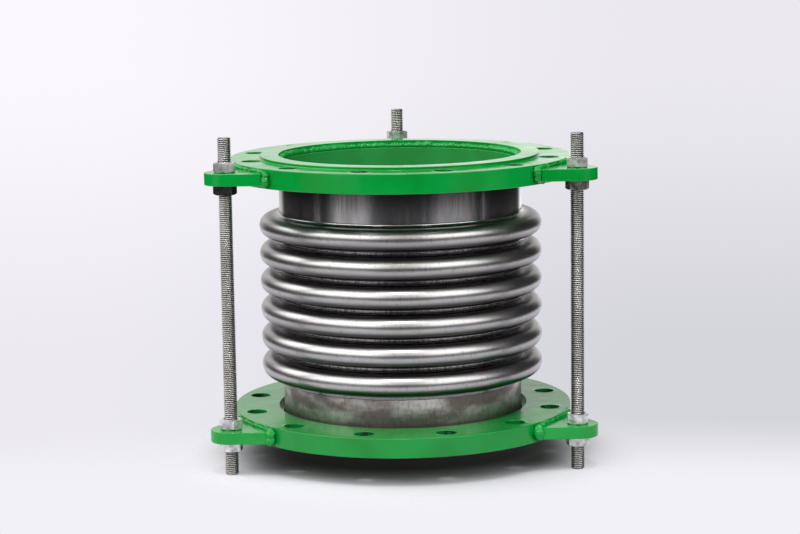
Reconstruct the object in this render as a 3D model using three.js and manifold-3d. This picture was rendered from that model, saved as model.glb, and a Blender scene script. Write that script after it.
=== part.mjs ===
// A flanged metal bellows expansion joint with three threaded tie rods.
// Two slip-on plate flanges are welded to short pipe nozzles. A bellows with six convolutions
// joins the nozzles, with a long upper cuff that sheathes the upper one, and a flow liner hangs
// inside it. Each flange carries three welded lugs, and each pair of lugs is held on a threaded
// rod by four hex nuts.
// Millimetres, +Z up along the pipe axis. The origin is the centre of the lower flange's
// raised face, which is the face that meets the pipeline.
import * as THREE from "three";
import { mergeVertices } from "three/addons/utils/BufferGeometryUtils.js";
import Module from "manifold-3d";

const wasm = await Module();
wasm.setup();

// ---------- driving dimensions ----------

const CLEARANCE = 0.3; // between pieces that touch
const SEGMENTS = 48; // around the flanges, pipes and bellows

const FLANGE = {
  outerRadius: 230,
  boreRadius: 164,
  counterboreRadius: 169.5, // on the inner face
  counterboreDepth: 8,
  rimThickness: 26,
  raisedFaceRadius: 189,
  raisedFaceHeight: 4,
  edgeBevel: 1,
};
const BOLTS = { count: 12, circleRadius: 205, holeRadius: 13, segments: 16 };

const FACE_TO_FACE = 374;
const NOZZLE = { outerRadius: 162.5, wall: 6, recess: 10 };

const BELLOWS = {
  convolutions: 6,
  pitch: 38.1,
  crestRadius: 191.4,
  crestArc: 14.4,
  wall: 1.5,
  firstRoot: 69,
  lowerCuff: 2.5, // length of the straight end over the lower nozzle
  upperCuff: 48.4, // and over the upper nozzle, into the flange's counterbore
};

const LINER = { wall: 2, bodyRadius: 152, top: 316, bottom: 45, collar: 16, taper: 8 };

const LUG = {
  count: 3,
  rodCircleRadius: 264,
  tipRadius: 27,
  thickness: 16,
  halfTaper: THREE.MathUtils.degToRad(30),
  cornerCut: 6, // off each root corner, to make room for the weld
  holeRadius: 10,
};

// M18 threaded rods and their nuts.
const ROD = { radius: 9, projection: 36, chamfer: 1.5, segments: 16 };
const NUT = { acrossFlats: 27, height: 13, segments: 12 };
// How far each nut happens to be turned, in degrees, from a flat facing across the radius.
const NUT_TURNS = {
  bottom_outer: [4, 21, 40],
  bottom_inner: [12, 46, 28],
  top_inner: [25, 8, 50],
  top_outer: [43, 24, 26],
};

// ---------- levels, worked out from the dimensions ----------

const LOWER_RIM_BOTTOM = FLANGE.raisedFaceHeight;
const LOWER_RIM_TOP = LOWER_RIM_BOTTOM + FLANGE.rimThickness;
const LOWER_LUG_MIDDLE = (LOWER_RIM_BOTTOM + LOWER_RIM_TOP) / 2;
const UPPER_LUG_MIDDLE = FACE_TO_FACE - LOWER_LUG_MIDDLE;
const CUFF_RADIUS = NOZZLE.outerRadius + CLEARANCE; // inside of the bellows cuffs and roots
const LAST_ROOT = BELLOWS.firstRoot + BELLOWS.convolutions * BELLOWS.pitch;

// ---------- materials ----------

const greenPaint = () =>
  new THREE.MeshStandardMaterial({ color: 0x029338, roughness: 0.3, metalness: 0 });
const polishedSteel = () =>
  new THREE.MeshStandardMaterial({ color: 0xb9b9bb, roughness: 0.22, metalness: 1 });
const dullSteel = () =>
  new THREE.MeshStandardMaterial({ color: 0x77766f, roughness: 0.55, metalness: 1 });
const zincSteel = () =>
  new THREE.MeshStandardMaterial({ color: 0x9d9b93, roughness: 0.35, metalness: 1 });

// ---------- geometry helpers ----------

// A closed three.js geometry as a manifold-3d solid.
function toSolid(geometry) {
  const bare = geometry.clone();
  bare.deleteAttribute("normal");
  bare.deleteAttribute("uv");
  const merged = mergeVertices(bare, 1e-4);
  return new wasm.Manifold(
    new wasm.Mesh({
      numProp: 3,
      vertProperties: merged.attributes.position.array,
      triVerts: new Uint32Array(merged.index.array),
    }),
  );
}

// A manifold-3d solid as a three.js geometry.
function toGeometry(solid) {
  const mesh = solid.getMesh();
  const geometry = new THREE.BufferGeometry();
  geometry.setAttribute("position", new THREE.BufferAttribute(mesh.vertProperties, 3));
  geometry.setIndex(new THREE.BufferAttribute(mesh.triVerts, 1));
  geometry.computeVertexNormals();
  return geometry;
}

// A ring turned about Z from a closed outline of [radius, height] points, listed anticlockwise
// with the radius to the right and the height up.
function turned(outline) {
  const points = [...outline, outline[0]].map(([r, z]) => new THREE.Vector2(r, z));
  return new THREE.LatheGeometry(points, SEGMENTS).rotateX(Math.PI / 2);
}

// A prism along Z from an outline shape, starting at height zero.
function prism(shape, height, curveSegments) {
  return new THREE.ExtrudeGeometry(shape, { depth: height, bevelEnabled: false, curveSegments });
}

function cylinder(radius, bottom, top, segments) {
  return new THREE.CylinderGeometry(radius, radius, top - bottom, segments)
    .rotateX(Math.PI / 2)
    .translate(0, 0, (bottom + top) / 2);
}

function addMesh(parent, name, geometry, material) {
  const mesh = new THREE.Mesh(geometry, material);
  mesh.name = name;
  parent.add(mesh);
  return mesh;
}

// ---------- flanges ----------

// A slip-on flange with its raised face down at height zero.
function flangeGeometry() {
  const { outerRadius, boreRadius, counterboreRadius, raisedFaceRadius, edgeBevel } = FLANGE;
  const counterboreFloor = LOWER_RIM_TOP - FLANGE.counterboreDepth;
  const ring = toSolid(
    turned([
      [boreRadius, 0],
      [raisedFaceRadius, 0],
      [raisedFaceRadius, LOWER_RIM_BOTTOM],
      [outerRadius - edgeBevel, LOWER_RIM_BOTTOM],
      [outerRadius, LOWER_RIM_BOTTOM + edgeBevel],
      [outerRadius, LOWER_RIM_TOP - edgeBevel],
      [outerRadius - edgeBevel, LOWER_RIM_TOP],
      [counterboreRadius, LOWER_RIM_TOP],
      [counterboreRadius, counterboreFloor],
      [boreRadius, counterboreFloor],
    ]),
  );
  const overrun = 1; // of the drill, past both faces
  const holes = [];
  for (let i = 0; i < BOLTS.count; i++) {
    // Holes straddle the lugs, which stand at 90, 210 and 330 degrees.
    const angle = ((i + 0.5) * 2 * Math.PI) / BOLTS.count;
    const hole = cylinder(
      BOLTS.holeRadius,
      LOWER_RIM_BOTTOM - overrun,
      LOWER_RIM_TOP + overrun,
      BOLTS.segments,
    ).translate(BOLTS.circleRadius * Math.cos(angle), BOLTS.circleRadius * Math.sin(angle), 0);
    holes.push(toSolid(hole));
  }
  return toGeometry(holes.reduce((solid, hole) => solid.subtract(hole), ring));
}

// The same flange turned over, with its raised face up.
function upperFlange(lower) {
  return lower.clone().rotateX(Math.PI).translate(0, 0, FACE_TO_FACE);
}

// ---------- nozzles, bellows and liner ----------

function nozzleGeometry(bottom, top) {
  const inner = NOZZLE.outerRadius - NOZZLE.wall;
  return turned([
    [inner, bottom],
    [NOZZLE.outerRadius, bottom],
    [NOZZLE.outerRadius, top],
    [inner, top],
  ]);
}

// One side of the bellows wall, from the lower cuff's end to the upper cuff's end. The offset is
// the distance outwards from the inner surface.
function bellowsSide(offset) {
  const { convolutions, pitch, crestRadius, crestArc, wall, firstRoot } = BELLOWS;
  const rootRadius = CUFF_RADIUS + offset;
  const arcRadius = crestArc - wall + offset; // of the round crest, and half its height
  const arcCentre = crestRadius - crestArc;
  const wallStart = rootRadius + pitch / 2 - arcRadius; // where the root's arc becomes flat
  const points = [[rootRadius, firstRoot - BELLOWS.lowerCuff]];
  for (let i = 0; i < convolutions; i++) {
    const middle = firstRoot + (i + 0.5) * pitch;
    points.push([rootRadius, middle - pitch / 2]);
    points.push([wallStart, middle - arcRadius]);
    for (const degrees of [-55, 0, 55]) {
      const angle = THREE.MathUtils.degToRad(degrees);
      points.push([
        arcCentre + arcRadius * Math.cos(angle),
        middle + arcRadius * Math.sin(angle),
      ]);
    }
    points.push([wallStart, middle + arcRadius]);
  }
  points.push([rootRadius, LAST_ROOT]);
  points.push([rootRadius, LAST_ROOT + BELLOWS.upperCuff]);
  return points;
}

function bellowsGeometry() {
  const outer = bellowsSide(BELLOWS.wall);
  const inner = bellowsSide(0).reverse();
  return turned([...outer, ...inner]);
}

// The liner's collar is fixed inside the upper nozzle, and its body hangs clear inside the
// bellows, with its free end inside the lower nozzle.
function linerGeometry() {
  const { wall, bodyRadius, top, bottom, collar, taper } = LINER;
  const collarRadius = NOZZLE.outerRadius - NOZZLE.wall - CLEARANCE;
  return turned([
    [bodyRadius - wall, bottom],
    [bodyRadius, bottom],
    [bodyRadius, top - collar - taper],
    [collarRadius, top - collar],
    [collarRadius, top],
    [collarRadius - wall, top],
    [collarRadius - wall, top - collar],
    [bodyRadius - wall, top - collar - taper],
  ]);
}

// ---------- lugs, rods and nuts ----------

// A lug that points along +Y, with its underside at height zero. Its sides taper to a round tip
// around the rod's hole. Its root is cut straight and meets the flange's rim at the middle, and
// its root corners are cut off.
function lugGeometry() {
  const { rodCircleRadius, tipRadius, thickness, halfTaper, cornerCut, holeRadius } = LUG;
  const rootY = FLANGE.outerRadius + CLEARANCE;
  const tangentX = tipRadius * Math.cos(halfTaper);
  const tangentY = rodCircleRadius + tipRadius * Math.sin(halfTaper);
  const rootX = tangentX + (tangentY - rootY) * Math.tan(halfTaper);
  const cutX = rootX - cornerCut * Math.tan(halfTaper); // where the cut meets the side
  const flatX = rootX - 2 * cornerCut; // and where it meets the root

  const shape = new THREE.Shape();
  shape.moveTo(flatX, rootY);
  shape.lineTo(cutX, rootY + cornerCut);
  shape.lineTo(tangentX, tangentY);
  shape.absarc(0, rodCircleRadius, tipRadius, halfTaper, Math.PI - halfTaper, false);
  shape.lineTo(-cutX, rootY + cornerCut);
  shape.lineTo(-flatX, rootY);
  const hole = new THREE.Path();
  hole.absarc(0, rodCircleRadius, holeRadius, 0, 2 * Math.PI, true);
  shape.holes.push(hole);
  return prism(shape, thickness, 10);
}

function rodGeometry() {
  const { radius, projection, chamfer, segments } = ROD;
  const bottom = -projection;
  const top = FACE_TO_FACE + projection;
  const points = [
    [0, bottom],
    [radius - chamfer, bottom],
    [radius, bottom + chamfer],
    [radius, top - chamfer],
    [radius - chamfer, top],
    [0, top],
  ].map(([r, z]) => new THREE.Vector2(r, z));
  return new THREE.LatheGeometry(points, segments).rotateX(Math.PI / 2);
}

function nutGeometry() {
  const corner = NUT.acrossFlats / 2 / Math.cos(Math.PI / 6);
  const shape = new THREE.Shape();
  for (let i = 0; i < 6; i++) {
    const angle = (i * Math.PI) / 3;
    const x = corner * Math.cos(angle);
    const y = corner * Math.sin(angle);
    if (i === 0) shape.moveTo(x, y);
    else shape.lineTo(x, y);
  }
  const bore = new THREE.Path();
  bore.absarc(0, 0, ROD.radius + CLEARANCE, 0, 2 * Math.PI, true);
  shape.holes.push(bore);
  return prism(shape, NUT.height, NUT.segments);
}

// ---------- assembly ----------

const joint = new THREE.Group();

const lowerFlange = flangeGeometry();
addMesh(joint, "bottom_flange", lowerFlange, greenPaint());
addMesh(joint, "top_flange", upperFlange(lowerFlange), greenPaint());
addMesh(
  joint,
  "bottom_nozzle",
  nozzleGeometry(NOZZLE.recess, BELLOWS.firstRoot),
  dullSteel(),
);
addMesh(
  joint,
  "top_nozzle",
  nozzleGeometry(LAST_ROOT, FACE_TO_FACE - NOZZLE.recess),
  greenPaint(),
);
addMesh(joint, "bellows", bellowsGeometry(), polishedSteel());
addMesh(joint, "flow_liner", linerGeometry(), dullSteel());

const nutLevels = {
  bottom_outer: LOWER_LUG_MIDDLE - LUG.thickness / 2 - CLEARANCE - NUT.height,
  bottom_inner: LOWER_LUG_MIDDLE + LUG.thickness / 2 + CLEARANCE,
  top_inner: UPPER_LUG_MIDDLE - LUG.thickness / 2 - CLEARANCE - NUT.height,
  top_outer: UPPER_LUG_MIDDLE + LUG.thickness / 2 + CLEARANCE,
};

for (let i = 0; i < LUG.count; i++) {
  const station = new THREE.Group();
  station.rotation.z = (i * 2 * Math.PI) / LUG.count;
  joint.add(station);
  const number = i + 1;

  const lowerLug = addMesh(station, `bottom_lug_${number}`, lugGeometry(), greenPaint());
  lowerLug.position.z = LOWER_LUG_MIDDLE - LUG.thickness / 2;
  const upperLug = addMesh(station, `top_lug_${number}`, lugGeometry(), greenPaint());
  upperLug.position.z = UPPER_LUG_MIDDLE - LUG.thickness / 2;

  const rod = addMesh(station, `tie_rod_${number}`, rodGeometry(), zincSteel());
  rod.position.y = LUG.rodCircleRadius;

  for (const [place, level] of Object.entries(nutLevels)) {
    const nut = addMesh(station, `${place}_nut_${number}`, nutGeometry(), zincSteel());
    nut.position.set(0, LUG.rodCircleRadius, level);
    nut.rotation.z = THREE.MathUtils.degToRad(NUT_TURNS[place][i]);
  }
}

export default joint;
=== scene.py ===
"""The looks of a flanged metal bellows expansion joint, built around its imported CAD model.

Each CAD node is stood for by a finer piece with the same size and place. Weld beads are extra.
Lengths here are in millimetres until a mesh is made, which is in metres.
"""

import math

import bmesh
import bpy
import numpy as np
from mathutils import Matrix, Vector, noise


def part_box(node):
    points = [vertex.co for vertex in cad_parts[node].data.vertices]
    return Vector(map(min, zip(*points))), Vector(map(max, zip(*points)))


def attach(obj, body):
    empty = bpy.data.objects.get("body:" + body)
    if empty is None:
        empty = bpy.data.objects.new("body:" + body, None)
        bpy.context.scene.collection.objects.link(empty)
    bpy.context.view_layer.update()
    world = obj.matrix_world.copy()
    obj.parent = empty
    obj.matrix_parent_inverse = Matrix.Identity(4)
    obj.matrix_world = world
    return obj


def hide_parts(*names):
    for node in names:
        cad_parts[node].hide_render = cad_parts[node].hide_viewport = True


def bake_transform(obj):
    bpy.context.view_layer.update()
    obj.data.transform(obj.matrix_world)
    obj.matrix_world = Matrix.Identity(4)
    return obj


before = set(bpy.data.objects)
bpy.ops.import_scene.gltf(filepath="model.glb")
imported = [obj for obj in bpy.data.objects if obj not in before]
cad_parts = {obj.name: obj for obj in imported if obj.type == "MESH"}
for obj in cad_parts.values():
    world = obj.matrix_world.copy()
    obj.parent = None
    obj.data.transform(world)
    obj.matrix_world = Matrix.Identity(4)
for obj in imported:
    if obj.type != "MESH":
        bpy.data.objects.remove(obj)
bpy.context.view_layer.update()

MM = 0.001


# ---------- dimensions, as in the CAD ----------

def levels(node):
    """The lowest and highest height of a CAD node, in millimetres."""
    low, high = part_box(node)
    return low.z / MM, high.z / MM


FLANGE_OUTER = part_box("bottom_flange")[1].x / MM
BORE = 164.0
COUNTERBORE = 169.5
COUNTERBORE_DEPTH = 8.0
RAISED_FACE = 189.0
RAISED_HEIGHT = 4.0
LOWER_FACE, LOWER_INNER = levels("bottom_flange")
TOP_FACE = levels("top_flange")[1]
HOLES = 12
HOLE_CIRCLE = 205.0
HOLE_RADIUS = 13.0

NOZZLE_OUTER = 162.5
NOZZLE_WALL = 6.0

CUFF_INNER = 162.8
BELLOWS_WALL = 1.5
CREST_RADIUS = 191.4
CREST_ARC = 14.4
LOWER_CUFF = 2.5
UPPER_CUFF = 48.4
CONVOLUTIONS = 6
BELLOWS_BOTTOM, BELLOWS_TOP = levels("bellows")
FIRST_ROOT = BELLOWS_BOTTOM + LOWER_CUFF
LAST_ROOT = BELLOWS_TOP - UPPER_CUFF
PITCH = (LAST_ROOT - FIRST_ROOT) / CONVOLUTIONS

LUG_COUNT = 3
ROD_CIRCLE = 264.0
LUG_TIP = 27.0
LUG_TAPER = math.radians(30)
LUG_HOLE = 10.0
LUG_GAP = 0.3
LUG_CORNER_CUT = 6.0

ROD_RADIUS = 9.0
THREAD_PITCH = 2.5
THREAD_DEPTH = 1.35
NUT_FLATS = 27.0


# ---------- mesh helpers ----------

class Shell:
    """Grids of points, in millimetres, that join into one mesh where their edges meet."""

    def __init__(self):
        self.points = []
        self.faces = []

    def grid(self, rows, round_rows=False, round_columns=False):
        """Quads over a grid of points. Its last row or column may join its first."""
        rows = np.asarray(rows, float)
        count, width = rows.shape[:2]
        start = len(self.points)
        self.points.extend(rows.reshape(-1, 3))
        for i in range(count if round_rows else count - 1):
            for j in range(width if round_columns else width - 1):
                below = start + (i + 1) % count * width
                here = start + i * width
                side = (j + 1) % width
                self.faces.append((here + j, here + side, below + side, below + j))

    def lathe(self, outline, segments, closed=False):
        """An outline of (radius, height) points turned round Z."""
        angles = np.arange(segments) * 2 * math.pi / segments
        outline = np.asarray(outline, float)
        rows = np.empty((len(outline), segments, 3))
        rows[:, :, 0] = outline[:, :1] * np.cos(angles)
        rows[:, :, 1] = outline[:, :1] * np.sin(angles)
        rows[:, :, 2] = outline[:, 1:]
        self.grid(rows, round_rows=closed, round_columns=True)

    def build(self, name, material, sharp=math.radians(35), change=None):
        """The object, with its normals facing out. change is applied to the points first."""
        points = np.array(self.points)
        if change is not None:
            points = change(points)
        mesh = bpy.data.meshes.new(name)
        mesh.from_pydata((points * MM).tolist(), [], self.faces)
        shape = bmesh.new()
        shape.from_mesh(mesh)
        bmesh.ops.remove_doubles(shape, verts=shape.verts, dist=1e-6)
        bmesh.ops.recalc_face_normals(shape, faces=shape.faces)
        shape.to_mesh(mesh)
        shape.free()
        mesh.shade_smooth()
        mesh.set_sharp_from_angle(angle=sharp)
        mesh.materials.append(material)
        made = bpy.data.objects.new(name, mesh)
        bpy.context.scene.collection.objects.link(made)
        weighted = made.modifiers.new("weighted", "WEIGHTED_NORMAL")
        weighted.keep_sharp = True
        return made


def arc(centre, radius, start, end, count):
    """Points on an arc in the (radius, height) plane, from start to end degrees."""
    angles = np.radians(np.linspace(start, end, count + 1))
    return [(centre[0] + radius * math.cos(a), centre[1] + radius * math.sin(a)) for a in angles]


def wobble(*position):
    """A smooth, repeatable number between about -1 and 1."""
    return noise.noise(Vector(position))


def upside_down(points):
    """The lower end of the joint turned over to make the upper end."""
    return points * (1, -1, -1) + (0, 0, TOP_FACE)


def turned(angle):
    """A change that turns points round Z."""
    cos, sin = math.cos(angle), math.sin(angle)
    matrix = np.array([[cos, -sin, 0], [sin, cos, 0], [0, 0, 1]])
    return lambda points: points @ matrix.T


# ---------- node helpers ----------

def node(tree, kind, inputs=None, **settings):
    """Adds a node, sets its properties, and sets or connects its inputs."""
    made = tree.nodes.new("ShaderNode" + kind)
    for key, value in settings.items():
        setattr(made, key, value)
    for key, value in (inputs or {}).items():
        if isinstance(value, bpy.types.NodeSocket):
            tree.links.new(value, made.inputs[key])
        else:
            made.inputs[key].default_value = value
    return made


def maths(tree, operation, *values):
    """The result of a Math node."""
    return node(tree, "Math", dict(enumerate(values)), operation=operation).outputs[0]


def ramp(tree, value, low, high, to_low=0.0, to_high=1.0):
    """A smooth change from to_low to to_high as value goes from low to high."""
    inputs = {
        "Value": value, "From Min": low, "From Max": high, "To Min": to_low, "To Max": to_high,
    }
    return node(tree, "MapRange", inputs, interpolation_type="SMOOTHSTEP").outputs["Result"]


def stretched_noise(tree, stretch, detail=3.0, roughness=0.55):
    """Noise over object space, in metres, with its own scale along X, Y and Z."""
    place = node(tree, "TexCoord").outputs["Object"]
    scaled = node(tree, "VectorMath", {0: place, 1: stretch}, operation="MULTIPLY").outputs[0]
    inputs = {"Vector": scaled, "Scale": 1.0, "Detail": detail, "Roughness": roughness}
    return node(tree, "TexNoise", inputs).outputs["Fac"]


def object_place(tree):
    """X, Y and Z in object space, in metres."""
    return node(tree, "SeparateXYZ", {0: node(tree, "TexCoord").outputs["Object"]}).outputs


def distance(tree, x, y):
    """How far (x, y) is from the origin."""
    squares = (maths(tree, "MULTIPLY", x, x), maths(tree, "MULTIPLY", y, y))
    return maths(tree, "SQRT", maths(tree, "ADD", *squares))


def ring_noise(tree, fine, along, detail=3.0):
    """Noise in fine lines round Z, on walls, cones and faces alike."""
    x, y, z = object_place(tree)
    radius = distance(tree, x, y)
    place = node(tree, "CombineXYZ", {
        0: maths(tree, "MULTIPLY", radius, fine),
        1: maths(tree, "MULTIPLY", z, fine),
        2: maths(tree, "MULTIPLY", x, along),
    })
    inputs = {
        "Vector": place.outputs[0], "W": maths(tree, "MULTIPLY", y, along),
        "Scale": 1.0, "Detail": detail,
    }
    return node(tree, "TexNoise", inputs, noise_dimensions="4D").outputs["Fac"]


def mix(tree, factor, first, second):
    """A colour between two."""
    inputs = {"Factor": factor, "A": first, "B": second}
    made = tree.nodes.new("ShaderNodeMix")
    made.data_type = "RGBA"
    for key, value in inputs.items():
        socket = next(s for s in made.inputs if s.name == key and s.enabled)
        if isinstance(value, bpy.types.NodeSocket):
            tree.links.new(value, socket)
        else:
            socket.default_value = value
    return next(s for s in made.outputs if s.enabled)


def bump(tree, height, depth, under=None):
    """A surface normal tilted by the height, which is depth metres at 1."""
    inputs = {"Height": height, "Distance": depth, "Strength": 1.0}
    if under is not None:
        inputs["Normal"] = under
    return node(tree, "Bump", inputs).outputs["Normal"]


def new_material(name):
    """A material, its node tree and its Principled shader."""
    made = bpy.data.materials.new(name)
    made.use_nodes = True
    shader = made.node_tree.nodes["Principled BSDF"]
    return made, made.node_tree, shader


def connect(tree, shader, **values):
    """Sets or connects the shader's inputs, with _ for a space in a name."""
    for key, value in values.items():
        socket = shader.inputs[key.replace("_", " ")]
        if isinstance(value, bpy.types.NodeSocket):
            tree.links.new(value, socket)
        else:
            socket.default_value = value


# ---------- materials ----------

GROOVE = "groove"  # attribute on a rod: 0 on the thread's crests and 1 in its grooves


def green_paint(name, smooth=0.10, rough=0.19, skin=0.00005, wave=0.0006, depth=1.0, pale=0.0):
    """Green enamel, brushed on: fine strokes round the part, and a wavy skin."""
    made, tree, shader = new_material(name)
    blotches = stretched_noise(tree, (14, 14, 14), detail=2)
    strokes = stretched_noise(tree, (9, 9, 700), detail=4)
    orange_peel = stretched_noise(tree, (260, 260, 260), detail=2)
    waves = stretched_noise(tree, (32, 32, 32), detail=1)
    # A depth below 1 darkens the paint, as painted shade, and pale lightens it, as painted light.
    deep = np.array([0.0006, 0.255, 0.029]) * depth + pale
    bright = np.array([0.0016, 0.315, 0.046]) * depth + pale
    colour = mix(tree, ramp(tree, blotches, 0.35, 0.65), (*deep, 1), (*bright, 1))
    normal = bump(tree, orange_peel, skin)
    normal = bump(tree, strokes, 0.00007, under=normal)
    normal = bump(tree, waves, wave, under=normal)
    connect(
        tree, shader, Base_Color=colour, Metallic=0.0, IOR=1.42,
        Roughness=ramp(tree, strokes, 0.3, 0.7, smooth, rough), Normal=normal,
    )
    return made


def hole_wall_paint(name):
    """The paint inside the bolt holes: darker, patchy and rougher than on the faces."""
    made, tree, shader = new_material(name)
    patches = stretched_noise(tree, (90, 90, 60), detail=3)
    colour = mix(tree, ramp(tree, patches, 0.38, 0.54), (0.004, 0.035, 0.010, 1),
                 (0.0015, 0.17, 0.03, 1))
    connect(
        tree, shader, Base_Color=colour, IOR=1.4,
        Roughness=ramp(tree, patches, 0.3, 0.7, 0.45, 0.25),
        Normal=bump(tree, patches, 0.0002),
    )
    return made


# Radii, in metres, over which the bellows goes from its roots to its valleys, whose colour is
# painted shade, and on to its crests, and over which its roughness changes.
ROOT_TO_VALLEY = (0.1685, 0.1735)
VALLEY_TO_CREST = (0.175, 0.188)
DULLING = (0.168, 0.180)


def polished_stainless(name):
    """Formed stainless sheet: satin crests with fine lines round the part and faint marks across
    them, painted shade in the valleys, on top of the crests and where it faces down, and the
    steel's own colour at the roots in patches."""
    made, tree, shader = new_material(name)
    lines = ring_noise(tree, 1500, 6, detail=4)
    cloud = stretched_noise(tree, (18, 18, 40), detail=3)
    marks = stretched_noise(tree, (420, 420, 110), detail=4)
    x, y, z = object_place(tree)
    radius = distance(tree, x, y)
    # worn is the radius made ragged by the fine lines: it sets where the painted shade of the
    # valleys gives way to the crests, and where the roughness changes.
    worn = maths(tree, "ADD", radius, maths(tree, "MULTIPLY", lines, 0.006))
    crest = mix(tree, ramp(tree, cloud, 0.3, 0.7), (0.405, 0.40, 0.40, 1),
                (0.47, 0.465, 0.465, 1))
    crest = mix(tree, ramp(tree, marks, 0.55, 0.70, 0.0, 0.55), crest, (0.20, 0.19, 0.195, 1))
    # The valleys' colour is painted shade.
    valley_shade = (0.16, 0.155, 0.157, 1)
    # At the roots the painted shade gives way to the steel's own colour in patches, and all round
    # at the highest root, below the neck. The lowest root, beside its seam, keeps most of the
    # painted shade.
    unshaded_root = maths(tree, "MULTIPLY", ramp(tree, marks, 0.40, 0.56),
                 ramp(tree, z, (FIRST_ROOT + 4) * MM, (FIRST_ROOT + 12) * MM, 0.15, 1.0))
    unshaded_root = maths(tree, "MAXIMUM", unshaded_root,
                 ramp(tree, z, (LAST_ROOT - 9) * MM, (LAST_ROOT - 4) * MM, 0.0, 0.75))
    root = mix(tree, unshaded_root, valley_shade, (0.48, 0.465, 0.475, 1))
    inner = mix(tree, ramp(tree, worn, *ROOT_TO_VALLEY), root, valley_shade)
    formed = mix(tree, ramp(tree, worn, *VALLEY_TO_CREST), inner, crest)
    # Painted shade: darker on top of the crests and where it faces down, and darkest underneath.
    normal = node(tree, "NewGeometry").outputs["Normal"]
    facing = node(tree, "SeparateXYZ", {0: normal}).outputs[2]
    facing_shade = maths(tree, "MAXIMUM", ramp(tree, facing, -0.55, -0.05, 0.85, 0.0),
                 ramp(tree, facing, 0.68, 0.92, 0.0, 0.5))
    colour = mix(tree, facing_shade, formed, (0.185, 0.168, 0.176, 1))
    colour = mix(tree, ramp(tree, facing, -0.70, -0.30, 0.9, 0.0), colour, (0.085, 0.08, 0.083, 1))
    connect(
        tree, shader, Base_Color=colour, Metallic=1.0,
        Roughness=ramp(tree, worn, *DULLING, 0.18, 0.31),
        Normal=bump(tree, lines, 0.00002),
    )
    return made


def drawn_stainless(name):
    """Bright sheet with faint scratches that run along the pipe, darkened towards the flange by
    painted shade."""
    made, tree, shader = new_material(name)
    scratches = stretched_noise(tree, (520, 520, 7), detail=4)
    cloud = stretched_noise(tree, (34, 34, 9), detail=3)
    bright = mix(tree, ramp(tree, cloud, 0.3, 0.7), (0.43, 0.425, 0.44, 1), (0.70, 0.69, 0.71, 1))
    # Painted shade, darker up the neck towards the flange, with a ragged edge.
    ragged = maths(tree, "ADD", object_place(tree)[2], maths(tree, "MULTIPLY", scratches, 0.04))
    neck_shade = ramp(tree, ragged, (LAST_ROOT + 20) * MM, (BELLOWS_TOP + 16) * MM)
    colour = mix(tree, neck_shade, bright, (0.11, 0.105, 0.11, 1))
    connect(
        tree, shader, Base_Color=colour, Metallic=1.0,
        Roughness=ramp(tree, scratches, 0.3, 0.7, 0.13, 0.20),
        Normal=bump(tree, scratches, 0.00001),
    )
    return made


def dull_pipe(name):
    """Plain mill-finished pipe, warm grey and matt, with a few lighter patches."""
    made, tree, shader = new_material(name)
    cloud = stretched_noise(tree, (11, 11, 26), detail=3)
    speckle = stretched_noise(tree, (300, 300, 120), detail=4)
    worn = mix(tree, ramp(tree, cloud, 0.46, 0.66), (0.25, 0.205, 0.195, 1),
               (0.66, 0.60, 0.60, 1))
    colour = mix(tree, ramp(tree, speckle, 0.45, 0.75, 0.0, 0.45), worn, (0.11, 0.09, 0.08, 1))
    connect(
        tree, shader, Base_Color=colour, Metallic=1.0,
        Roughness=ramp(tree, cloud, 0.4, 0.66, 0.52, 0.36),
        Normal=bump(tree, speckle, 0.00004),
    )
    return made


def thread_steel(name):
    """Threaded rod: bright crests, and painted shade in the grooves."""
    made, tree, shader = new_material(name)
    cloud = stretched_noise(tree, (60, 60, 25), detail=3)
    crest = mix(tree, ramp(tree, cloud, 0.35, 0.65), (0.44, 0.43, 0.415, 1),
                (0.64, 0.63, 0.61, 1))
    # Painted shade in the thread's grooves:
    groove = node(tree, "Attribute", attribute_name=GROOVE).outputs["Fac"]
    colour = mix(tree, ramp(tree, groove, 0.3, 0.9), crest, (0.10, 0.097, 0.092, 1))
    connect(tree, shader, Base_Color=colour, Metallic=1.0,
            Roughness=ramp(tree, cloud, 0.3, 0.7, 0.38, 0.28))
    return made


def plain_metal(name, dark, light, rough, smooth, metallic=1.0, grain=(300, 300, 300)):
    """Fastener metal between two colours and two roughnesses."""
    made, tree, shader = new_material(name)
    cloud = stretched_noise(tree, (120, 120, 120), detail=3)
    fine = stretched_noise(tree, grain, detail=3)
    colour = mix(tree, ramp(tree, cloud, 0.3, 0.7), (*dark, 1), (*light, 1))
    connect(
        tree, shader, Base_Color=colour, Metallic=metallic,
        Roughness=ramp(tree, fine, 0.3, 0.7, smooth, rough),
        Normal=bump(tree, fine, 0.00003),
    )
    return made


PAINT = green_paint("green_enamel")
# The lower flange's enamel: a little rougher and satin, and darker by painted shade.
LOWER_PAINT_SHADED = green_paint("green_enamel_satin_shaded", smooth=0.15, rough=0.22, wave=0.0004,
                          depth=0.82)
WELD_PAINT = green_paint("green_enamel_on_weld", smooth=0.05, rough=0.13, skin=0.0008)
# The enamel of the upper nozzle, seen inside the bore: rougher, and paler by painted light.
BORE_PAINT_LIT = green_paint("green_enamel_in_bore_lit", smooth=0.32, rough=0.42, pale=0.024)
BELLOWS_STEEL = polished_stainless("polished_stainless")
NECK_STEEL = drawn_stainless("drawn_stainless")
PIPE_STEEL = dull_pipe("mill_steel")
HOLE_PAINT = hole_wall_paint("hole_wall_green_paint")
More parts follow.
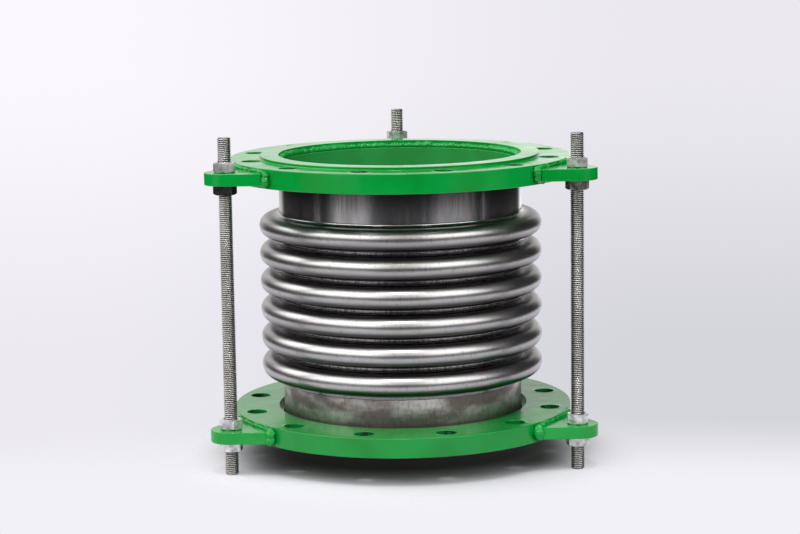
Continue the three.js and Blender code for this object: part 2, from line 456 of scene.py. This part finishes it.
# Where the flanges face down: rougher, and darker by painted shade.
UNDERSIDE_SHADE_PAINT = green_paint("green_enamel_underside_shaded", smooth=0.3, rough=0.42, depth=0.4)
ROD_STEEL = thread_steel("rod_steel")
NUT_STEEL = plain_metal("zinc_nut_steel", (0.36, 0.36, 0.36), (0.80, 0.80, 0.80), 0.28, 0.18,
                        metallic=0.6, grain=(90, 90, 90))
DARK_NUT_STEEL = plain_metal("dark_nut_steel", (0.035, 0.033, 0.032), (0.11, 0.105, 0.10),
                             0.48, 0.30)
MOTTLED_NUT_STEEL = plain_metal("mottled_dark_nut_steel", (0.07, 0.07, 0.068), (0.42, 0.42, 0.41),
                             0.45, 0.25, metallic=0.6)
SEAM_STEEL = plain_metal("seam_steel", (0.06, 0.055, 0.05), (0.20, 0.19, 0.18), 0.65, 0.45)


# ---------- flanges ----------

ARC_STEPS = 16  # of the rim, between two bolt holes
RIM_SEGMENTS = HOLES * ARC_STEPS
SIDE_STEPS = 8  # across the plate, midway between two bolt holes
EDGE = 1.2  # radius of the rounded edges
# Rings round a bolt hole: distance out from its edge and height above the plate. The paint
# stands up in a lip and runs over the edge.
LIP = [(7.0, 0.0), (3.4, 0.04), (2.0, 0.22), (1.1, 0.34), (0.45, 0.16), (0.08, -0.4), (0.0, -1.4)]


def hole_ring(middle, count, radius, height):
    """A loop round a bolt hole that starts towards the rim's corner of its sector."""
    centre = HOLE_CIRCLE * np.array([math.cos(middle), math.sin(middle)])
    angles = middle - math.pi / 6 + np.arange(count) * 2 * math.pi / count
    x = centre[0] + radius * np.cos(angles)
    y = centre[1] + radius * np.sin(angles)
    return np.stack([x, y, np.broadcast_to(height, x.shape)], axis=1)


def sector_edge(middle, inner, outer, height):
    """The closed edge of the plate's sector round one bolt hole."""
    half = math.pi / HOLES
    across = np.linspace(-half, half, ARC_STEPS + 1)[:-1]
    outwards = np.linspace(inner, outer, SIDE_STEPS + 1)[:-1]
    radii = np.concatenate([
        np.full(ARC_STEPS, outer), outwards[::-1] + (outer - inner) / SIDE_STEPS,
        np.full(ARC_STEPS, inner), outwards,
    ])
    angles = middle + np.concatenate([
        across, np.full(SIDE_STEPS, half), -across, np.full(SIDE_STEPS, -half),
    ])
    return np.stack([radii * np.cos(angles), radii * np.sin(angles),
                     np.full(len(radii), height)], axis=1)


def holed_plate(shell, inner, outer, height, up):
    """A flat face with the bolt holes, whose paint lips stand up or down."""
    for i in range(HOLES):
        middle = (2 * i + 1) * math.pi / HOLES
        edge = sector_edge(middle, inner, outer, height)
        rows = [edge]
        count = len(edge)
        for out, lift in LIP:
            uneven = [
                1 + 0.9 * wobble(3 * math.cos(a), 3 * math.sin(a), 7 * i + height)
                for a in np.arange(count) * 2 * math.pi / count
            ]
            lifts = lift * np.array(uneven) if lift > 0 else np.full(count, lift)
            rows.append(hole_ring(middle, count, HOLE_RADIUS + out, height + up * lifts))
        shell.grid(rows, round_columns=True)


def flange_shell():
    """A slip-on flange with its raised face down at height zero."""
    shell = Shell()
    outer, inner_face, back_face = FLANGE_OUTER, LOWER_INNER, LOWER_FACE + RAISED_HEIGHT
    step_foot = RAISED_FACE + EDGE
    holed_plate(shell, step_foot, outer - EDGE, back_face, -1)
    holed_plate(shell, COUNTERBORE + EDGE / 2, outer - EDGE, inner_face, 1)
    shell.lathe(
        arc((outer - EDGE, back_face + EDGE), EDGE, -90, 0, 4)
        + arc((outer - EDGE, inner_face - EDGE), EDGE, 0, 90, 4),
        RIM_SEGMENTS,
    )
    small = 0.7
    shell.lathe(
        arc((COUNTERBORE + EDGE / 2, inner_face - EDGE / 2), EDGE / 2, 90, 180, 3)
        + [(COUNTERBORE, inner_face - COUNTERBORE_DEPTH), (BORE, inner_face - COUNTERBORE_DEPTH)]
        + arc((BORE + small, LOWER_FACE + small), small, 180, 270, 3)
        + arc((RAISED_FACE - small, LOWER_FACE + small), small, 270, 360, 3)
        + arc((step_foot, back_face - EDGE), EDGE, 180, 90, 3),
        RIM_SEGMENTS,
    )
    count = 2 * (ARC_STEPS + SIDE_STEPS)
    deepest = LIP[-1][1]
    for i in range(HOLES):
        middle = (2 * i + 1) * math.pi / HOLES
        heights = (back_face - deepest, inner_face + deepest)
        rows = [hole_ring(middle, count, HOLE_RADIUS, h) for h in heights]
        shell.grid(rows, round_columns=True)
    return shell


def place(piece, body, slot, *nodes):
    """Says which body a piece rides on and the CAD nodes it stands for; slot, its finish, is not
    used.
    """
    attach(piece, body)
    if nodes:
        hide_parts(*nodes)
    return piece


def flange_piece(end, paint, change=None):
    """A painted flange, whose paint is darker, patchy and rougher in its bolt holes, and darker by
    painted shade where it faces down.
    """
    made = flange_shell().build(f"{end}_flange_painted", paint, change=change)
    made.data.materials.append(HOLE_PAINT)
    made.data.materials.append(UNDERSIDE_SHADE_PAINT)
    for face in made.data.polygons:
        # Faces turned down get the painted shade.
        if face.normal.z < -0.9:
            face.material_index = 2
        if abs(face.normal.z) > 0.5:
            continue
        angle = math.atan2(face.center.y, face.center.x)
        step = 2 * math.pi / HOLES
        middle = (math.floor(angle / step) + 0.5) * step
        across = face.center.xy / MM - HOLE_CIRCLE * Vector((math.cos(middle), math.sin(middle)))
        face.material_index = int(across.length < HOLE_RADIUS + 0.02)
    place(made, f"{end}_end", "green_paint", f"{end}_flange")


flange_piece("bottom", LOWER_PAINT_SHADED)
flange_piece("top", PAINT, upside_down)


# ---------- nozzles and liner ----------

TURNED_SEGMENTS = 160


def tube(name, material, inner, outer, bottom, top, edge=0.6):
    """A plain pipe with eased edges."""
    shell = Shell()
    shell.lathe(
        arc((inner + edge, bottom + edge), edge, 180, 270, 3)
        + arc((outer - edge, bottom + edge), edge, 270, 360, 3)
        + arc((outer - edge, top - edge), edge, 0, 90, 3)
        + arc((inner + edge, top - edge), edge, 90, 180, 3),
        TURNED_SEGMENTS, closed=True,
    )
    return shell.build(name, material)


NOZZLE_INNER = NOZZLE_OUTER - NOZZLE_WALL
lower_neck = tube("bottom_neck", PIPE_STEEL, NOZZLE_INNER, NOZZLE_OUTER, *levels("bottom_nozzle"))
place(lower_neck, "bottom_end", "pipe_steel", "bottom_nozzle")
upper_neck = tube("top_neck", BORE_PAINT_LIT, NOZZLE_INNER, NOZZLE_OUTER, *levels("top_nozzle"))
place(upper_neck, "top_end", "green_paint", "top_nozzle")


LINER_WALL = 2.0
LINER_BODY = 152.0  # radius
LINER_COLLAR = 16.0  # length of the wide part at the top
LINER_TAPER = 8.0  # length


def liner_piece():
    """The sleeve inside the bellows, with a wider collar in the upper nozzle."""
    bottom, top = levels("flow_liner")
    collar_radius = NOZZLE_INNER - CUFF_INNER + NOZZLE_OUTER
    collar_foot = top - LINER_COLLAR
    lip = LINER_WALL / 2
    shell = Shell()
    shell.lathe(
        arc((LINER_BODY - lip, bottom + lip), lip, 180, 360, 6)
        + [(LINER_BODY, collar_foot - LINER_TAPER), (collar_radius, collar_foot)]
        + arc((collar_radius - lip, top - lip), lip, 0, 180, 6)
        + [(collar_radius - LINER_WALL, collar_foot),
           (LINER_BODY - LINER_WALL, collar_foot - LINER_TAPER)],
        TURNED_SEGMENTS, closed=True,
    )
    return shell.build("liner_sleeve", PIPE_STEEL)


place(liner_piece(), "top_end", "pipe_steel", "flow_liner")


# ---------- bellows ----------

def bellows_side(offset, crest_steps, root_steps):
    """One side of the wall, from the lower cuff's end to the upper's. The offset is the
    distance out from the inner surface."""
    crest = CREST_ARC - BELLOWS_WALL + offset
    root = (PITCH - 2 * crest) / 2
    crest_centre = CREST_RADIUS - CREST_ARC
    root_centre = CUFF_INNER + offset + root
    points = [(CUFF_INNER + offset, BELLOWS_BOTTOM)]
    for i in range(CONVOLUTIONS):
        middle = FIRST_ROOT + (i + 0.5) * PITCH
        points += arc((root_centre, middle - PITCH / 2), root, 180, 90, root_steps)[int(i > 0):]
        points += arc((crest_centre, middle), crest, -90, 90, crest_steps)
        points += arc((root_centre, middle + PITCH / 2), root, 270, 180, root_steps)
    points.append((CUFF_INNER + offset, BELLOWS_TOP))
    return points


def bellows_piece():
    shell = Shell()
    outer = bellows_side(BELLOWS_WALL, 24, 6)
    inner = bellows_side(0.0, 12, 4)
    shell.lathe(outer + inner[::-1], TURNED_SEGMENTS, closed=True)
    made = shell.build("bellows_convolutions", BELLOWS_STEEL)
    made.data.materials.append(NECK_STEEL)
    for face in made.data.polygons:
        face.material_index = int(face.center.z > LAST_ROOT * MM)
    return made


bellows = bellows_piece()
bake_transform(bellows)
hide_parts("bellows")


# ---------- lugs ----------

def rounded_loops(outline, edge, steps):
    """Loops over a rounded edge: the outline drawn in, and the depth below the face."""
    outline = np.asarray(outline, float)
    ahead = np.roll(outline, -1, axis=0) - outline
    behind = outline - np.roll(outline, 1, axis=0)
    ahead /= np.linalg.norm(ahead, axis=1)[:, None]
    behind /= np.linalg.norm(behind, axis=1)[:, None]
    along = ahead + behind
    along /= np.linalg.norm(along, axis=1)[:, None]
    inwards = np.stack([-along[:, 1], along[:, 0]], axis=1)
    for angle in np.linspace(0, math.pi / 2, steps + 1):
        draw, depth = edge * (1 - math.sin(angle)), edge * (1 - math.cos(angle))
        yield outline + inwards * draw, depth


def lug_outline():
    """A lug that points along +Y, anticlockwise from its root's right corner."""
    tangent = np.array([LUG_TIP * math.cos(LUG_TAPER),
                        ROD_CIRCLE + LUG_TIP * math.sin(LUG_TAPER)])
    root_y = FLANGE_OUTER + LUG_GAP
    root_x = tangent[0] + (tangent[1] - root_y) * math.tan(LUG_TAPER)
    flat = np.array([root_x - 2 * LUG_CORNER_CUT, root_y])
    cut = np.array([root_x - LUG_CORNER_CUT * math.tan(LUG_TAPER), root_y + LUG_CORNER_CUT])
    side = [tuple(flat + (cut - flat) * t) for t in (0, 0.25, 0.5, 0.75)]
    side += [tuple(cut + (tangent - cut) * t) for t in np.linspace(0, 1, 13)[:-1]]
    tip = arc((0, ROD_CIRCLE), LUG_TIP, math.degrees(LUG_TAPER),
              180 - math.degrees(LUG_TAPER), 32)
    other = [(-x, y) for x, y in side[::-1]]
    back = [(x, root_y) for x in np.linspace(-flat[0], flat[0], 22)[1:-1]]
    return side + tip + other + back, flat, cut


LUG_POINTS, LUG_FLAT_END, LUG_CORNER = lug_outline()


def lug_shell(bottom, top, edge=1.0):
    """A lug's plate between two heights, with its hole for the rod."""
    shell = Shell()
    outline = np.array(LUG_POINTS)
    centre = np.array([0, ROD_CIRCLE])
    ray = outline - centre
    ray /= np.linalg.norm(ray, axis=1)[:, None]

    def level(flat, height):
        return np.column_stack([flat, np.full(len(flat), height)])

    rows = []
    for radius, depth in ((LUG_HOLE, edge), (LUG_HOLE + 0.3 * edge, 0.3 * edge),
                          (LUG_HOLE + edge, 0)):
        rows.append(level(centre + ray * radius, top - depth))
    loops = list(rounded_loops(outline, edge, 3))
    first = loops[0][0]
    rows.append(level((centre + ray * (LUG_HOLE + edge) + first) / 2, top))
    rows += [level(flat, top - depth) for flat, depth in loops]
    middle = (top + bottom) / 2
    upper = np.array(rows)
    lower = upper[::-1] * (1, 1, -1) + (0, 0, 2 * middle)
    shell.grid(np.concatenate([upper, lower]), round_rows=True, round_columns=True)
    return shell


for i in range(LUG_COUNT):
    number = i + 1
    turn = turned(2 * math.pi * i / LUG_COUNT)
    for end in ("bottom", "top"):
        name = f"{end}_lug_{number}"
        lug = lug_shell(*levels(name)).build(f"{name}_painted", PAINT, change=turn)
        place(lug, f"{end}_end", "green_paint", name)


# ---------- rods ----------

THREAD_ROWS = 8  # along one pitch
THREAD_COLUMNS = 28  # in one turn
CREST_SHARPNESS = 1.25  # 1 makes the crests and grooves equally wide
ROD_CHAMFER = 1.6


def rod_shell(bottom, top, phase):
    """A fully threaded rod round the Z axis. Its thread winds right-handed."""
    columns = THREAD_COLUMNS
    # The worn, rounded thread: share of the pitch, and share of the depth below the crest.
    shares = np.arange(THREAD_ROWS) / THREAD_ROWS
    depths = ((1 - np.cos(2 * math.pi * shares)) / 2) ** CREST_SHARPNESS
    profile = list(zip(shares, depths))
    turns = int((top - bottom) / THREAD_PITCH) + 3
    total = turns * columns
    step = np.arange(total + 1)
    angles = step * 2 * math.pi / columns + phase
    start = bottom - 1.5 * THREAD_PITCH + step / columns * THREAD_PITCH
    rows = []
    for share_of_pitch, deep in profile:
        heights = start + share_of_pitch * THREAD_PITCH
        from_end = np.minimum(heights - bottom, top - heights)
        # The ends are chamfered down to the thread's root.
        crest = ROD_RADIUS - np.clip(ROD_CHAMFER - from_end, 0, THREAD_DEPTH + 0.4)
        radii = np.minimum(ROD_RADIUS - deep * THREAD_DEPTH, crest)
        rows.append(np.column_stack([radii * np.cos(angles), radii * np.sin(angles), heights]))
    shell = Shell()
    shell.grid(rows)
    shell.grid([rows[-1][:total + 1 - columns], rows[0][columns:]])
    return shell


def trimmed(piece, bottom, top):
    """Cuts a piece square at two heights and closes the cuts."""
    shape = bmesh.new()
    shape.from_mesh(piece.data)
    for height, direction in ((bottom, -1), (top, 1)):
        parts = shape.verts[:] + shape.edges[:] + shape.faces[:]
        bmesh.ops.bisect_plane(shape, geom=parts, dist=1e-7, plane_co=(0, 0, height * MM),
                               plane_no=(0, 0, direction), clear_outer=True)
    edges = [e for e in shape.edges if e.is_boundary]
    bmesh.ops.holes_fill(shape, edges=edges, sides=0)
    bmesh.ops.recalc_face_normals(shape, faces=shape.faces)
    shape.to_mesh(piece.data)
    shape.free()
    return piece


def standing_at(station):
    """A change that moves points from the Z axis to a rod's place."""
    angle = math.pi / 2 + 2 * math.pi * station / LUG_COUNT
    shift = np.array([ROD_CIRCLE * math.cos(angle), ROD_CIRCLE * math.sin(angle), 0])
    turn = turned(2 * math.pi * station / LUG_COUNT)
    return lambda points: turn(points) + shift


for i in range(LUG_COUNT):
    name = f"tie_rod_{i + 1}"
    bottom, top = levels(name)
    rod = rod_shell(bottom, top, 1.7 * i).build(f"{name}_threaded", ROD_STEEL,
                                                sharp=math.radians(60), change=standing_at(i))
    trimmed(rod, bottom, top)
    centre = standing_at(i)(np.zeros((1, 3)))[0]
    across = [math.hypot(v.co.x / MM - centre[0], v.co.y / MM - centre[1])
              for v in rod.data.vertices]
    depth = (ROD_RADIUS - np.array(across)) / THREAD_DEPTH
    groove = rod.data.attributes.new(GROOVE, "FLOAT", "POINT")
    groove.data.foreach_set("value", np.where(depth > 1.1, 0.0, np.clip(depth, 0, 1)))
    place(rod, "bottom_end", "rod_steel", name)


# ---------- nuts ----------

# The nuts under the top lugs are darker than the others.
INNER_NUT_STEELS = (DARK_NUT_STEEL, DARK_NUT_STEEL, MOTTLED_NUT_STEEL)  # under the top lugs
NUT_TURNS = {  # as in the CAD, in degrees
    "bottom_outer": (4, 21, 40),
    "bottom_inner": (12, 46, 28),
    "top_inner": (25, 8, 50),
    "top_outer": (43, 24, 26),
}


NUT_SIDE_STEPS = 16
NUT_EDGE = 0.25  # rounding of its corners' ends
NUT_CHAMFER = math.radians(28)
NUT_COUNTERSINK = 0.9


def nut_shell(bottom, top):
    """A hex nut round the Z axis, chamfered on both faces, with a countersunk bore."""
    count = 6 * NUT_SIDE_STEPS
    angles = np.arange(count) * 2 * math.pi / count
    # The corners stand at 0, 60, ... degrees, as in the CAD.
    side = NUT_FLATS / 2 / np.cos((angles % (math.pi / 3)) - math.pi / 6)
    washer = NUT_FLATS / 2 * 0.96
    chamfer = math.tan(NUT_CHAMFER)
    bore = ROD_RADIUS + 0.25

    def ring(radii, height):
        radii = np.broadcast_to(radii, angles.shape)
        return np.column_stack([radii * np.cos(angles), radii * np.sin(angles),
                                np.broadcast_to(height, angles.shape)])

    upper = [
        ring(bore, top - 1.0),
        ring(bore + NUT_COUNTERSINK, top),
        ring(washer, top),
        ring(washer + (side - washer) * 0.5, top - (side - washer) * 0.5 * chamfer),
        ring(side - NUT_EDGE * 0.4, top - (side - NUT_EDGE * 0.4 - washer) * chamfer),
        ring(side, top - (side - washer) * chamfer - NUT_EDGE),
    ]
    lower = [row * (1, 1, -1) + (0, 0, top + bottom) for row in upper[::-1]]
    shell = Shell()
    shell.grid(upper + lower, round_rows=True, round_columns=True)
    return shell


for place_name, nut_angles in NUT_TURNS.items():
    for i, degrees in enumerate(nut_angles):
        name = f"{place_name}_nut_{i + 1}"
        steel = INNER_NUT_STEELS[i] if place_name == "top_inner" else NUT_STEEL
        spin, stand = turned(math.radians(degrees)), standing_at(i)
        nut = nut_shell(*levels(name)).build(
            f"{name}_hex", steel, sharp=math.radians(24), change=lambda p: stand(spin(p)))
        place(nut, name if place_name.startswith("top") else "bottom_end", "nut_steel", name)


# ---------- welds ----------

LUG_WELD_SIZE = 3.6  # radius of the bead where the gap is narrowest
BORE_WELD_SIZE = 4.6
BORE_WELD_RISE = 2.3  # of the bead's middle past the nozzle's end
CUFF_SEAM_SIZE = 0.8


def bead(name, material, path, outwards, size, seed, lumps=0.22, ripple=3.2):
    """A weld bead round a closed path of points: a lumpy rope with the ripples of its passes."""
    path = np.asarray(path, float)
    outwards = np.asarray(outwards, float)
    size = np.broadcast_to(size, len(path))
    ahead = np.roll(path, -1, axis=0) - np.roll(path, 1, axis=0)
    ahead /= np.linalg.norm(ahead, axis=1)[:, None]
    outwards = outwards - (outwards * ahead).sum(axis=1)[:, None] * ahead
    outwards /= np.linalg.norm(outwards, axis=1)[:, None]
    across = np.cross(ahead, outwards)
    travelled = np.concatenate([[0], np.cumsum(np.linalg.norm(np.diff(path, axis=0), axis=1))])
    rows = []
    sides = 14
    for k in range(sides):
        angle = 2 * math.pi * k / sides
        row = []
        for p, o, a, s, radius in zip(path, outwards, across, travelled, size):
            lump = wobble(p[0] / 9, p[1] / 9, p[2] / 9 + seed)
            fine = wobble(p[0] / 3.1 + 40, p[1] / 3.1, p[2] / 3.1 + seed + 3 * math.cos(angle))
            # Each pass is a crescent that lags at the bead's sides.
            phase = (s + 1.1 * (1 - math.cos(angle))) * 2 * math.pi / ripple
            swell = 1 + lumps * lump + 0.6 * lumps * fine + 0.08 * math.sin(phase)
            reach = radius * swell
            row.append(p + reach * (math.cos(angle) * o + math.sin(angle) * a))
        rows.append(row)
    shell = Shell()
    shell.grid(rows, round_rows=True, round_columns=True)
    return shell.build(name, material, sharp=math.radians(80))


def ring_path(radius, height, count):
    """A circle's points and its directions outwards."""
    angles = np.arange(count) * 2 * math.pi / count
    unit = np.column_stack([np.cos(angles), np.sin(angles), np.zeros(count)])
    return unit * radius + (0, 0, height), unit


def lug_weld_path(bottom, top, spacing=1.3):
    """Round a lug's root, in the gap that is left between it and the rim. Gives the points,
    the directions outwards and the bead's size at each point."""
    half = LUG_CORNER[0] - 0.4
    across = np.linspace(half, -half, int(2 * half / spacing))
    path, out, size = [], [], []

    def add(x, rise, direction):
        """One point, at a share of the way up from the bottom bead to the top one."""
        rim_y = math.sqrt(FLANGE_OUTER ** 2 - x ** 2)
        root_y = np.interp(abs(x), [LUG_FLAT_END[0], LUG_CORNER[0]],
                           [LUG_FLAT_END[1], LUG_CORNER[1]])
        fuller = 0.2 * (root_y - rim_y)
        low = bottom - 0.2 + 1.7 * fuller
        high = top + 0.2 - 0.5 * fuller
        path.append((x, (rim_y + root_y) / 2 - 0.4, low + rise * (high - low)))
        out.append((direction[0], 1.0, direction[1]))
        size.append(LUG_WELD_SIZE + fuller)

    steps = int((top - bottom) / spacing)
    rises = np.linspace(0, 1, steps + 1)[1:-1]
    for x in across:
        add(x, 1, (0, 1))
    for rise in rises[::-1]:
        add(-half, rise, (-2, 0))
    for x in across[::-1]:
        add(x, 0, (0, -1))
    for rise in rises:
        add(half, rise, (2, 0))
    return np.array(path), np.array(out), np.array(size)


for end, body in (("bottom", "bottom_end"), ("top", "top_end")):
    for i in range(LUG_COUNT):
        path, out, size = lug_weld_path(*levels(f"{end}_lug_{i + 1}"))
        turn = turned(2 * math.pi * i / LUG_COUNT)
        weld = bead(f"{end}_lug_weld_{i + 1}", WELD_PAINT, turn(path), turn(out), size,
                    seed=10 * i + (end == "top") * 5, lumps=0.6)
        place(weld, body, "green_paint")

for end, body in (("bottom", "bottom_end"), ("top", "top_end")):
    nozzle_low, nozzle_high = levels(f"{end}_nozzle")
    height = nozzle_high + BORE_WELD_RISE if end == "top" else nozzle_low - BORE_WELD_RISE
    path, out = ring_path(BORE - 1.5, height, 1100)
    weld = bead(f"{end}_bore_weld", WELD_PAINT, path, out, BORE_WELD_SIZE, seed=50, lumps=0.48,
                ripple=4.0)
    place(weld, body, "green_paint")

path, out = ring_path(CUFF_INNER + 0.5, BELLOWS_BOTTOM, 560)
seam = bead("bottom_cuff_seam", SEAM_STEEL, path, out, CUFF_SEAM_SIZE, seed=80, lumps=0.5,
            ripple=2.5)
place(seam, "bottom_end", "stainless_steel")


# ---------- floor, light and camera ----------

def floor_piece():
    """A pale paper sheet. Its edges are soft. The object's reflections see all of it, and the
    camera only the part round the object, beyond which the backdrop shows."""
    shell = Shell()
    shell.lathe([(r, 0.0) for r in (0.001, 400.0, 1000.0, 2800.0)], 96)
    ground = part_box("tie_rod_1")[0].z / MM
    made, tree, shader = new_material("pale_floor")
    x, y, _ = object_place(tree)
    sideways = maths(tree, "ABSOLUTE", x)
    ahead = maths(tree, "MULTIPLY", y, -1.0)
    away = distance(tree, x, y)
    # The photographer's stand darkens the paper far in front.
    beside = ramp(tree, maths(tree, "DIVIDE", sideways, maths(tree, "MAXIMUM", ahead, 0.01)),
                  0.22, 0.50)
    stand = maths(tree, "MULTIPLY", maths(tree, "SUBTRACT", 1.0, beside),
                  ramp(tree, ahead, 0.6, 1.5, 0.0, 0.85))
    # Close under the flange hardly any light reaches the paper.
    below = distance(tree, maths(tree, "MULTIPLY", x, 0.72), y)
    dark = maths(tree, "MAXIMUM", stand, ramp(tree, below, 0.115, 0.22, 0.985, 0.0))
    connect(tree, shader, Roughness=0.6, IOR=1.15,
            Base_Color=mix(tree, dark, (0.69, 0.69, 0.735, 1), (0.02, 0.02, 0.02, 1)))
    edge = maths(tree, "MAXIMUM", ramp(tree, sideways, 1.35, 1.6), ramp(tree, away, 1.9, 2.25))
    seen = ramp(tree, away, 0.20, 0.355)
    camera_ray = node(tree, "LightPath").outputs["Is Camera Ray"]
    fade = maths(tree, "MAXIMUM", edge, maths(tree, "MULTIPLY", seen, camera_ray))
    clear = node(tree, "BsdfTransparent")
    faded = node(tree, "MixShader", {0: fade, 1: shader.outputs[0], 2: clear.outputs[0]})
    tree.links.new(faded.outputs[0], tree.nodes["Material Output"].inputs["Surface"])
    return shell.build("floor", made, change=lambda points: points + (0, 0, ground))


floor_piece()


def band(tree, value, low, high, soft):
    """1 between low and high degrees, with soft edges."""
    low, high, soft = map(math.radians, (low, high, soft))
    rise = ramp(tree, value, low - soft / 2, low + soft / 2)
    fall = ramp(tree, value, high - soft / 2, high + soft / 2, 1.0, 0.0)
    return maths(tree, "MULTIPLY", rise, fall)


# The studio as the object sees it: azimuth from the front to the right, elevation, softness
# of the edges in degrees, and brightness.
LIGHTS = [
    ((-135, -18), (20, 64), 16, 3.0),
    ((20, 78), (20, 64), 16, 2.8),
    ((-18, 20), (24, 62), 12, 1.0),
    ((153, 210), (-16, 40), 10, 0.75),
    ((153, 182), (-16, 8), 9, 0.5),
    ((-16, 8), (66, 74), 4, 40.0),
    ((-68, -30), (-16, 0), 12, 0.45),
    ((34, 72), (-16, 0), 12, 0.28),
    ((181, 215), (10, 40), 8, 0.2),
]
CEILING = 0.65
PAPER = (0.89, 0.88, 0.922, 1)
AMBIENT = 0.03


def studio():
    """Two large soft boxes in front, a white wall behind, a small lamp overhead, faint low light
    from the sides, and a dark room elsewhere."""
    world = bpy.data.worlds.new("studio")
    bpy.context.scene.world = world
    world.use_nodes = True
    tree = world.node_tree
    tree.nodes.clear()
    direction = node(tree, "TexCoord").outputs["Generated"]
    x, y, z = node(tree, "SeparateXYZ", {0: direction}).outputs
    azimuth = maths(tree, "ARCTAN2", x, maths(tree, "MULTIPLY", y, -1.0))
    turned_back = maths(tree, "ADD", azimuth, maths(
        tree, "MULTIPLY", maths(tree, "LESS_THAN", azimuth, 0.0), 2 * math.pi))
    elevation = maths(tree, "ARCSINE", z)
    overhead = ramp(tree, elevation, math.radians(56), math.radians(72), 0.0, CEILING)
    total = maths(tree, "ADD", overhead, AMBIENT)
    for sideways, upwards, soft, brightness in LIGHTS:
        which = turned_back if sideways[1] > 180 else azimuth
        lit = maths(tree, "MULTIPLY", band(tree, which, *sideways, soft),
                    band(tree, elevation, *upwards, soft))
        total = maths(tree, "ADD", total, maths(tree, "MULTIPLY", lit, brightness))
    room = node(tree, "Background", {"Color": (1.0, 0.985, 0.97, 1), "Strength": total})
    # What the camera sees behind the object: pale, and a little darker to the right and lower
    # down, until the paper in front of the object begins.
    across = ramp(tree, x, -0.13, 0.13)
    high = mix(tree, across, (0.955, 0.938, 0.98, 1), (0.83, 0.815, 0.865, 1))
    low = mix(tree, across, (0.835, 0.82, 0.87, 1), (0.66, 0.665, 0.71, 1))
    pale = mix(tree, ramp(tree, z, -0.20, -0.06), low, high)
    pale = mix(tree, ramp(tree, z, -0.245, -0.215), PAPER, pale)
    backdrop = node(tree, "Background", {"Color": pale, "Strength": 1.0})
    seen = node(tree, "MixShader", {
        0: node(tree, "LightPath").outputs["Is Camera Ray"],
        1: room.outputs[0], 2: backdrop.outputs[0],
    })
    output = node(tree, "OutputWorld", {"Surface": seen.outputs[0]})
    output.is_active_output = True


studio()
bpy.context.scene.view_settings.view_transform = "Standard"

CAMERA_DISTANCE = 3080.9
CAMERA_HEIGHT = 694.1
CAMERA_LENS = 102.88
CAMERA_YAW = -0.0005
CAMERA_PITCH = -0.1538
CAMERA_ROLL = -0.0142
OBJECT_TURN = 0.0121  # how far the lugs stand round from the camera's line


def add_camera():
    data = bpy.data.cameras.new("camera")
    data.lens = CAMERA_LENS
    data.sensor_width = 36.0
    data.clip_start, data.clip_end = 0.1, 100.0
    camera = bpy.data.objects.new("camera", data)
    forward = Vector((
        math.sin(CAMERA_YAW) * math.cos(CAMERA_PITCH),
        math.cos(CAMERA_YAW) * math.cos(CAMERA_PITCH),
        math.sin(CAMERA_PITCH),
    ))
    level_right = Vector((math.cos(CAMERA_YAW), -math.sin(CAMERA_YAW), 0))
    level_up = level_right.cross(forward)
    cos, sin = math.cos(CAMERA_ROLL), math.sin(CAMERA_ROLL)
    right = level_right * cos + level_up * sin
    up = level_up * cos - level_right * sin
    matrix = Matrix((right, up, -forward)).transposed().to_4x4()
    matrix.translation = Vector((0, -CAMERA_DISTANCE, CAMERA_HEIGHT)) * MM
    camera.matrix_world = Matrix.Rotation(-OBJECT_TURN, 4, "Z") @ matrix
    bpy.context.scene.collection.objects.link(camera)
    bpy.context.scene.camera = camera


add_camera()

bpy.context.view_layer.update()
